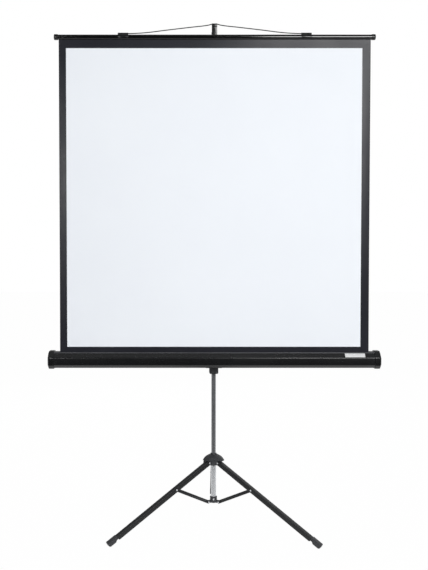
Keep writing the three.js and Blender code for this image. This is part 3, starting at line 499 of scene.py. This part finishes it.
# Case: a folded shell with a slot for the cloth, and a narrow hemmed flange along the slot's front
caseLook = {"upperCut": 27, "lowerCut": 15, "backCut": 12, "wall": 1.2, "fold": 3.5, "edge": 7, "crest": 0.8,
            "slot": 6.5, "lip": 4, "lipRound": 0.3, "hem": 1.5, "hemRise": 5, "hemRound": 0.6, "hemRoot": 0.4,
            "highlightStart": 0.6, "highlightReach": 0.7, "stations": 24}
shellLow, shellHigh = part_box("case_shell")
caseMid = (shellLow + shellHigh) / 2
halfD, halfH = (shellHigh.y - shellLow.y) / 2 / mm, (shellHigh.z - shellLow.z) / 2 / mm
clothY = middle("screen_fabric").y
slotAt = (clothY - caseMid.y) / mm
up, down, back, fold = caseLook["upperCut"], caseLook["lowerCut"], caseLook["backCut"], caseLook["fold"]
frontLip, rearLip = slotAt - caseLook["slot"] / 2, slotAt + caseLook["slot"] / 2
frontZ, rearZ = (halfH - up + halfD + lip for lip in (frontLip, rearLip))  # the slope's height at each lip
hemFace = frontLip - caseLook["hem"]
hemTop = frontZ + caseLook["hemRise"]
highlightLow = frontZ + caseLook["highlightStart"]  # the flange's front face carries the painted highlight above this
corners = [(-halfD + down, -halfH), (halfD - back, -halfH), (halfD, -halfH + back), (halfD, halfH - back),
           (halfD - back, halfH), (-halfD + up, halfH), (-halfD, halfH - up), (-halfD, -halfH + down)]
flange = [(frontLip, frontZ - caseLook["lip"], 0), (frontLip, hemTop, caseLook["hemRound"]),
          (hemFace, hemTop, caseLook["hemRound"]), (hemFace, highlightLow, 0),
          (hemFace, frontZ - caseLook["hem"], caseLook["hemRoot"])]
folds = [(*corners[6], caseLook["edge"]), (*corners[7], fold)] + [(*corner, fold) for corner in corners[:5]]
rear = [(*corners[5], caseLook["crest"]), (rearLip, rearZ, caseLook["lipRound"]),
        (rearLip, rearZ - caseLook["lip"], 0)]
skin = eased(flange + folds + rear, steps=5, closed=False)
inner = []
for i, point in enumerate(skin):
    way = (skin[min(i + 1, len(skin) - 1)] - skin[max(i - 1, 0)]).normalized()
    inner.append(point + Vector((-way.y, way.x)) * caseLook["wall"])
section = skin + inner[::-1]


def caseLoop(x, outline):  # an outline about the case's middle, at a place along it
    return [(x, caseMid.y + p.x * mm, caseMid.z + p.y * mm) for p in outline]


verts, faces = lofted([caseLoop(x, section) for x in evenly(shellLow.x, shellHigh.x, caseLook["stations"])])
shell = addPiece("case_skin", verts, faces, bakedEnamel, ["case_shell"])
# The top of the flange's front face takes the lighter enamel: a painted highlight along the lip.
shell.data.materials.append(paintedHighlightEnamel)
for face in shell.data.polygons:
    across, above = (face.center.y - caseMid.y) / mm, (face.center.z - caseMid.z) / mm
    onHemHighlight = abs(across - hemFace) < caseLook["highlightReach"] and above > highlightLow
    face.material_index = 1 if onHemHighlight else 0


# End caps: a socket that takes the shell's end, a rim round it and a low boss on the end
capLook = {"floor": 9, "socket": 0.3, "socketCorner": 3, "rim": 4.5, "rimLip": 0.8, "corner": 12, "round": 5,
           "boss": 3}


def capLoop(x, grow, corner):  # the case's outline grown by some millimetres, with round corners
    out = []
    for i, here in enumerate(corners):
        a = (Vector(here) - Vector(corners[i - 1])).normalized()
        b = (Vector(corners[(i + 1) % len(corners)]) - Vector(here)).normalized()
        share = -grow / (1 + a.dot(b))
        out.append((here[0] - (a.y + b.y) * share, here[1] + (a.x + b.x) * share, corner))
    return caseLoop(x, eased(out, steps=6))


def capRings(rimStart):  # place past the end's face, growth and corner, from the socket to the boss
    rim, corner, boss = capLook["rim"], capLook["corner"], capLook["boss"]
    socket, socketCorner, lip = capLook["socket"], capLook["socketCorner"], capLook["rimLip"]
    inside = [(-capLook["floor"], socket, socketCorner), (rimStart, socket, socketCorner)]
    wall = [(rimStart, rim - lip, corner), (rimStart + lip, rim, corner)]
    wall += [(-back, rim - inward, corner) for inward, back in quarterRound(capLook["round"])]
    end = [(0, 0.6 - rim, corner), (0.5, -rim, corner), (boss - 0.9, -rim - 0.8, corner),
           (boss, -rim - 1.8, corner), (boss, -rim - 10, corner * 0.6)]
    return inside + wall + end


for side, sign in (("left", -1), ("right", 1)):
    capLow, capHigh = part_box("end_cap_" + side)
    outerX = (capHigh.x if sign > 0 else capLow.x) - sign * capLook["boss"] * mm
    innerX = capLow.x if sign > 0 else capHigh.x
    rings = capRings((innerX - outerX) * sign / mm)
    verts, faces = lofted([capLoop(outerX + sign * out * mm, grow, corner) for out, grow, corner in rings])
    addPiece("case_cap_" + side, verts, faces, polishedBlack, ["end_cap_" + side], smooth=30)
rounded("label_film", "label_plate", blankFilm, edge=0.3)
print("case made")


# Roller inside the case, with the cloth that stays wound on it
rollerLook = {"wall": 1.0, "lip": 0.4, "cloth": 0.5, "gap": 0.12, "pitch": 0.53, "turns": 2, "steps": 48}
axis = middle("roller_tube")
low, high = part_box("roller_tube")
radius = (high.z - low.z) / 2
profile = tubeProfile(radius - rollerLook["wall"] * mm, radius, low.x, high.x, rollerLook["lip"])
verts, faces = spun(profile, ring=True)
addPiece("roller", verts, faces, drawnTube, ["roller_tube"], along((1, 0, 0), (0, axis.y, axis.z)))
low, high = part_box("fabric_roll")
spiral = []
for k in range(rollerLook["turns"] * rollerLook["steps"] + 1):
    turn = 2 * math.pi * k / rollerLook["steps"]
    spiral.append((turn, radius + (rollerLook["gap"] + rollerLook["pitch"] * turn / 2 / math.pi) * mm))
outside = [(t, r + rollerLook["cloth"] * mm) for t, r in reversed(spiral)]
wound = [(r * math.cos(t), r * math.sin(t)) for t, r in spiral + outside]
verts, faces = lofted([[(x, axis.y + a, axis.z + b) for a, b in wound]
                       for x in (low.x, low.x / 3, high.x / 3, high.x)])
addPiece("wound_cloth", verts, faces, whiteCloth, ["fabric_roll"])
for name, node, finish in (("roller_end_left", "roller_plug_left", waxyNylon),
                           ("roller_end_right", "roller_plug_right", waxyNylon),
                           ("winding_shaft", "spring_shaft", drawnTube),
                           ("winding_spring", "roller_spring", drawnTube),
                           ("bearing_plate_left", "roller_bearing_left", drawnTube),
                           ("bearing_plate_right", "roller_bearing_right", drawnTube)):
    rounded(name, node, finish, edge=0.3)
print("roller made")


# Screen cloth: a sheet with a black border, slack waves and edges that curl back a little. Its header, with
# the bead in the edge, goes down with the bar. Its tail stays at the roller. The rest lies between them; the
# header's low edge is placed to leave a narrow bunch above the tail when the bar is down.
clothLook = {"thickness": 0.5, "bead": 2.6, "beadDown": 2.85, "beadStart": 258, "beadSweep": 336,
             "beadSteps": 8, "beadClear": 1.05, "leftBorder": 35, "rightBorder": 40.5, "whiteLow": 915.3,
             "whiteHigh": 2354.4, "wave": 0.9, "curl": 3.0, "curlWidth": 60, "columns": 120, "rows": 72,
             "tail": 22.8, "bunch": 3, "seam": 0.05}
slackLook = {"hold": 0.6, "across": 9.0, "bend": 1.3, "up": 2.1, "second": 0.6, "secondAcross": 3.7,
             "secondUp": 1.9, "secondStart": 0.7}  # both waves run across and up, in radians per metre
clothLow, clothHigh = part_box("screen_fabric")
beadZ = clothHigh.z - clothLook["beadDown"] * mm
slotZ = shellHigh.z


def clothOffset(x, z):  # two slow waves and the curl, held flat at the slot and at the bar
    share = min(max((z - slotZ) / (beadZ - slotZ), 0), 1)
    hold = math.sin(math.pi * share) ** slackLook["hold"]
    fromEdge = max(0, 1 - (clothHigh.x - abs(x)) / (clothLook["curlWidth"] * mm))
    bend = slackLook["bend"] * math.sin(slackLook["up"] * z)
    second = slackLook["secondAcross"] * x - slackLook["secondUp"] * z + slackLook["secondStart"]
    slack = math.sin(slackLook["across"] * x + bend) + slackLook["second"] * math.sin(second)
    return hold * (clothLook["wave"] * slack + clothLook["curl"] * fromEdge ** 2) * mm


half, bead = clothLook["thickness"] / 2 * mm, clothLook["bead"] * mm
whiteLow, whiteHigh = clothLook["whiteLow"] * mm, clothLook["whiteHigh"] * mm
whiteLeft = clothLow.x + clothLook["leftBorder"] * mm
whiteRight = clothHigh.x - clothLook["rightBorder"] * mm
drop = [j for j in frame["joints"] if j["name"] == "screen_pull"][0]["range_m"][0]
tailTop = clothLow.z + clothLook["tail"] * mm
headerLow = tailTop + clothLook["bunch"] * mm - drop
beadLow = beadZ - bead * clothLook["beadClear"]  # the last row stops just under the bead
evenZ = evenly(clothLow.z, beadZ, clothLook["rows"])
columnsX = sorted({*evenly(clothLow.x, clothHigh.x, clothLook["columns"]), whiteLeft, whiteRight})
drawnRows = sorted({*(z for z in evenZ if tailTop < z < headerLow), tailTop, whiteLow, whiteHigh, headerLow})
headerRows = [headerLow + clothLook["seam"] * mm] + [z for z in evenZ if headerLow + bead < z < beadLow]
beadRound = []
for k in range(clothLook["beadSteps"] + 1):
    turn = math.radians(clothLook["beadStart"] - clothLook["beadSweep"] * k / clothLook["beadSteps"])
    beadRound.append((clothY + bead * math.cos(turn), beadZ + bead * math.sin(turn)))


def clothLoops(rows, top):  # up the front, round the top and down the back, for each column
    loops = []
    for x in columnsX:
        front = [(x, clothY - half + clothOffset(x, z), z) for z in rows]
        rear = [(x, clothY + half + clothOffset(x, z), z) for z in reversed(rows)]
        loops.append(front + [(x, y, z) for y, z in top] + rear)
    return loops


verts, faces = lofted(clothLoops(drawnRows, []))
cloth = addPiece("screen_cloth", verts, faces, whiteCloth, ["screen_fabric"])
cloth.data.materials.append(borderInk)
for face in cloth.data.polygons:
    inside = whiteLeft < face.center.x < whiteRight and whiteLow < face.center.z < whiteHigh
    face.material_index = 0 if inside else 1
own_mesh(cloth)
for name, rows, top, rider in (("cloth_header", headerRows, beadRound, "top_bar"),
                               ("cloth_tail", [clothLow.z, tailTop], [], "screen_fabric")):
    verts, faces = lofted(clothLoops(rows, top))
    edging = addPiece(name, verts, faces, borderInk, [])
    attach(edging, nodeBody[rider])
print("cloth made")


# Bar with its groove, and its end caps and clips
barLook = {"wall": 1.2, "groove": 3.0, "arcSteps": 56, "stations": 12, "capLip": 2.0, "capStem": 3,
           "capRound": 4, "stemGap": 0.4, "capGap": 0.3, "capEdge": 0.6, "capSteps": 48, "capFlat": 0.4}
barLow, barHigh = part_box("top_bar")
barZ = barHigh.z - (barHigh.y - barLow.y) / 2
barR = (barHigh.y - barLow.y) / 2 / mm
opening = math.asin(barLook["groove"] / 2 / barR)
arc = evenly(opening - math.pi / 2, 3 * math.pi / 2 - opening, barLook["arcSteps"])
section = [(barR * math.cos(t), barR * math.sin(t)) for t in arc]
boreR = barR - barLook["wall"]
section += [(boreR * math.cos(t), boreR * math.sin(t)) for t in reversed(arc)]
verts, faces = lofted([[(x, clothY + a * mm, barZ + b * mm) for a, b in section]
                       for x in evenly(barLow.x, barHigh.x, barLook["stations"])])
addPiece("cloth_bar", verts, faces, anodisedBar, ["top_bar"])
for side, sign in (("left", -1), ("right", 1)):
    capLow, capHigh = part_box("bar_cap_" + side)
    face = max(abs(capLow.x), abs(capHigh.x)) / mm
    end, capR, stem = barHigh.x / mm, barR + barLook["capLip"], boreR - barLook["stemGap"]
    rimStart, edge = end + barLook["capGap"], barLook["capEdge"]
    profile = [(0, end - barLook["capStem"]), (stem, end - barLook["capStem"]), (stem, rimStart),
               (capR - edge, rimStart), (capR, rimStart + edge)]
    profile += [(capR - inward, face - back) for inward, back in quarterRound(barLook["capRound"])]
    profile += [(barLook["capFlat"] * capR, face), (0, face)]
    verts, faces = spun([(r * mm, h * mm) for r, h in profile], barLook["capSteps"])
    addPiece("bar_end_" + side, verts, faces, polishedBlack, ["bar_cap_" + side],
             along((sign, 0, 0), (0, clothY, barZ)))
    rounded("bail_ear_" + side, "bail_clip_" + side, polishedBlack, edge=0.7)


# Bail: one wire from clip to clip, leaning back to the hook. Each arm runs out from the peak to its end.
bailLook = {"wire": 2.3, "rise": 67, "shoulder": 62.8, "setBack": 20, "peakHalf": 15, "slope": 13,
            "eye": 17.15, "innerEye": 415.5, "end": 461.5, "beforeEye": 8, "pastEye": 4, "pathSteps": 10,
            "roundSteps": 3,
            "shares": ((0.3, 0.71), (0.55, 0.41), (0.8, 0.1))}  # of the way to the eye, and of the fall left
eye, innerEye = bailLook["eye"], bailLook["innerEye"]
swell = bailLook["shoulder"] - eye
armPoints = [(bailLook["peakHalf"], bailLook["rise"]),
             (bailLook["peakHalf"] + bailLook["slope"], bailLook["shoulder"])]
armPoints += [(innerEye * way, eye + swell * share) for way, share in bailLook["shares"]]
armPoints += [(innerEye - bailLook["beforeEye"], eye), (innerEye + bailLook["pastEye"], eye),
              (bailLook["end"], eye)]
wireCurve = bpy.data.curves.new("bail_path", "CURVE")
wireCurve.dimensions = "3D"
wireCurve.resolution_u = bailLook["pathSteps"]
wireCurve.use_fill_caps = True
wireCurve.bevel_depth = bailLook["wire"] * mm
wireCurve.bevel_resolution = bailLook["roundSteps"]
spline = wireCurve.splines.new("BEZIER")
wirePoints = [(-x, z) for x, z in reversed(armPoints)] + armPoints
spline.bezier_points.add(len(wirePoints) - 1)
for point, (x, z) in zip(spline.bezier_points, wirePoints):
    lean = bailLook["setBack"] * (z - eye) / (bailLook["rise"] - eye)
    point.co = (x * mm, clothY + lean * mm, barZ + z * mm)
    point.handle_left_type = point.handle_right_type = "AUTO"
wireMesh = drawnMesh(bpy.data.objects.new("bail_draft", wireCurve))
settle("bail", wireMesh, bluedWire, ["bail_wire"], meshLook["smooth"])
print("bar and bail made")


# Floor: white paper to the eye. In reflections it fades to dark towards the front.
floorLook = {"half": 30, "glow": 0.985}  # metres, and the share that glows. The rest is lit, for the shadows.
floorHalf = floorLook["half"]
floorMesh = bpy.data.meshes.new("floor")
floorMesh.from_pydata([(x * floorHalf, y * floorHalf, 0) for x, y in ((-1, -1), (1, -1), (1, 1), (-1, 1))],
                      [], [(0, 1, 2, 3)])
floor = bpy.data.objects.new("floor", floorMesh)
scene.collection.objects.link(floor)
paper = bpy.data.materials.new("white paper")
paper.use_nodes = True
tree = paper.node_tree
tree.nodes.clear()
rays = addNode(tree, "ShaderNodeLightPath", {})
spot = addNode(tree, "ShaderNodeNewGeometry", {})
split = addNode(tree, "ShaderNodeSeparateXYZ", {"Vector": spot.outputs["Position"]})
sweep = addNode(tree, "ShaderNodeMapRange", {
    "Value": split.outputs["Y"], "From Min": -1.4, "From Max": -0.3, "To Min": 0.03, "To Max": 0.95})
white = addNode(tree, "ShaderNodeMath", {
    0: rays.outputs["Is Camera Ray"], 1: sweep.outputs["Result"]}, operation="MAXIMUM")
seen = addNode(tree, "ShaderNodeMath", {
    0: rays.outputs["Is Camera Ray"], 1: rays.outputs["Is Glossy Ray"]}, operation="MAXIMUM")
share = addNode(tree, "ShaderNodeMath", {
    0: seen.outputs["Value"], 1: floorLook["glow"]}, operation="MULTIPLY")
matt = addNode(tree, "ShaderNodeBsdfDiffuse", {"Color": linear("#f4f4f4")})
glow = addNode(tree, "ShaderNodeEmission", {"Color": linear("#ffffff"), "Strength": white.outputs["Value"]})
blend = addNode(tree, "ShaderNodeMixShader", {
    0: share.outputs["Value"], 1: matt.outputs["BSDF"], 2: glow.outputs["Emission"]})
addNode(tree, "ShaderNodeOutputMaterial", {"Surface": blend.outputs["Shader"]})
floorMesh.materials.append(paper)

# World: white to the eye. In reflections it is bright behind, to the right and overhead, and dark in front.
world = bpy.data.worlds.new("studio")
scene.world = world
world.use_nodes = True
tree = world.node_tree
tree.nodes.clear()
rays = addNode(tree, "ShaderNodeLightPath", {})
place = addNode(tree, "ShaderNodeTexCoord", {})
split = addNode(tree, "ShaderNodeSeparateXYZ", {"Vector": place.outputs["Generated"]})
behind = addNode(tree, "ShaderNodeMapRange", {
    "Value": split.outputs["Y"], "From Min": -0.45, "From Max": 0.6, "To Min": 0.03, "To Max": 0.7})
beside = addNode(tree, "ShaderNodeMapRange", {
    "Value": split.outputs["X"], "From Min": -0.5, "From Max": 0.4, "To Min": 0.3, "To Max": 1.0})
mirror = addNode(tree, "ShaderNodeMath", {
    0: behind.outputs["Result"], 1: beside.outputs["Result"]}, operation="MULTIPLY")
above = addNode(tree, "ShaderNodeMapRange", {
    "Value": split.outputs["Z"], "From Min": 0.85, "From Max": 0.99, "To Min": 0.0, "To Max": 0.42})
gloss = addNode(tree, "ShaderNodeMath", {
    0: mirror.outputs["Value"], 1: above.outputs["Result"]}, operation="MAXIMUM")
sky = addNode(tree, "ShaderNodeMapRange", {
    "Value": split.outputs["Z"], "From Min": -0.3, "From Max": 0.9, "To Min": 0.1, "To Max": 0.5})
level = addNode(tree, "ShaderNodeMix", {
    0: rays.outputs["Is Glossy Ray"], 2: sky.outputs["Result"], 3: gloss.outputs["Value"]}, data_type="FLOAT")
room = addNode(tree, "ShaderNodeBackground", {"Color": linear("#ffffff"), "Strength": level.outputs[0]})
backdrop = addNode(tree, "ShaderNodeBackground", {"Color": linear("#ffffff"), "Strength": 1.0})
mixed = addNode(tree, "ShaderNodeMixShader", {
    0: rays.outputs["Is Camera Ray"], 1: room.outputs["Background"], 2: backdrop.outputs["Background"]})
addNode(tree, "ShaderNodeOutputWorld", {"Surface": mixed.outputs["Shader"]})

lamps = {
    "front": {"at": (0.15, -4.7, 1.5), "aim": (0.1, -0.2, 1.5), "size": (1.1, 0.9), "power": 15},
    "right": {"at": (1.35, -4.3, 2.8), "aim": (0.2, -0.2, 1.7), "size": (1.5, 1.8), "power": 92},
    "left": {"at": (-1.75, -4.3, 2.1), "aim": (-0.4, -0.2, 1.6), "size": (0.5, 1.2), "power": 20},
    "back": {"at": (-0.9, 4.3, 2.6), "aim": (0.0, -0.1, 1.4), "size": (1.6, 1.6), "power": 70},
}
mirrored = ("right", "left")  # the lamps that reflections show
for name, look in lamps.items():
    lamp = bpy.data.lights.new(name, "AREA")
    lamp.shape = "RECTANGLE"
    lamp.size, lamp.size_y = look["size"]
    lamp.energy = look["power"]
    holder = bpy.data.objects.new(name, lamp)
    scene.collection.objects.link(holder)
    holder.location = look["at"]
    holder.visible_glossy = name in mirrored
    way = Vector(look["aim"]) - Vector(look["at"])
    holder.rotation_euler = way.to_track_quat("-Z", "Y").to_euler()

# The camera stands a little to the left of the mast and isn't turned towards it, so its frame is shifted to
# the right.
cameraLook = {"at": (-0.15, -4.132, 1.3364), "down": 1.77, "lens": 50.9, "sensor": 36, "shift": 0.0535}
lens = bpy.data.cameras.new("camera")
lens.lens = cameraLook["lens"]
lens.sensor_width = cameraLook["sensor"]
lens.sensor_fit = "AUTO"
lens.shift_x = cameraLook["shift"]
camera = bpy.data.objects.new("camera", lens)
scene.collection.objects.link(camera)
camera.location = cameraLook["at"]
camera.rotation_euler = (math.radians(90 - cameraLook["down"]), 0, 0)
scene.camera = camera
scene.view_settings.view_transform = "Standard"
print("stage set")
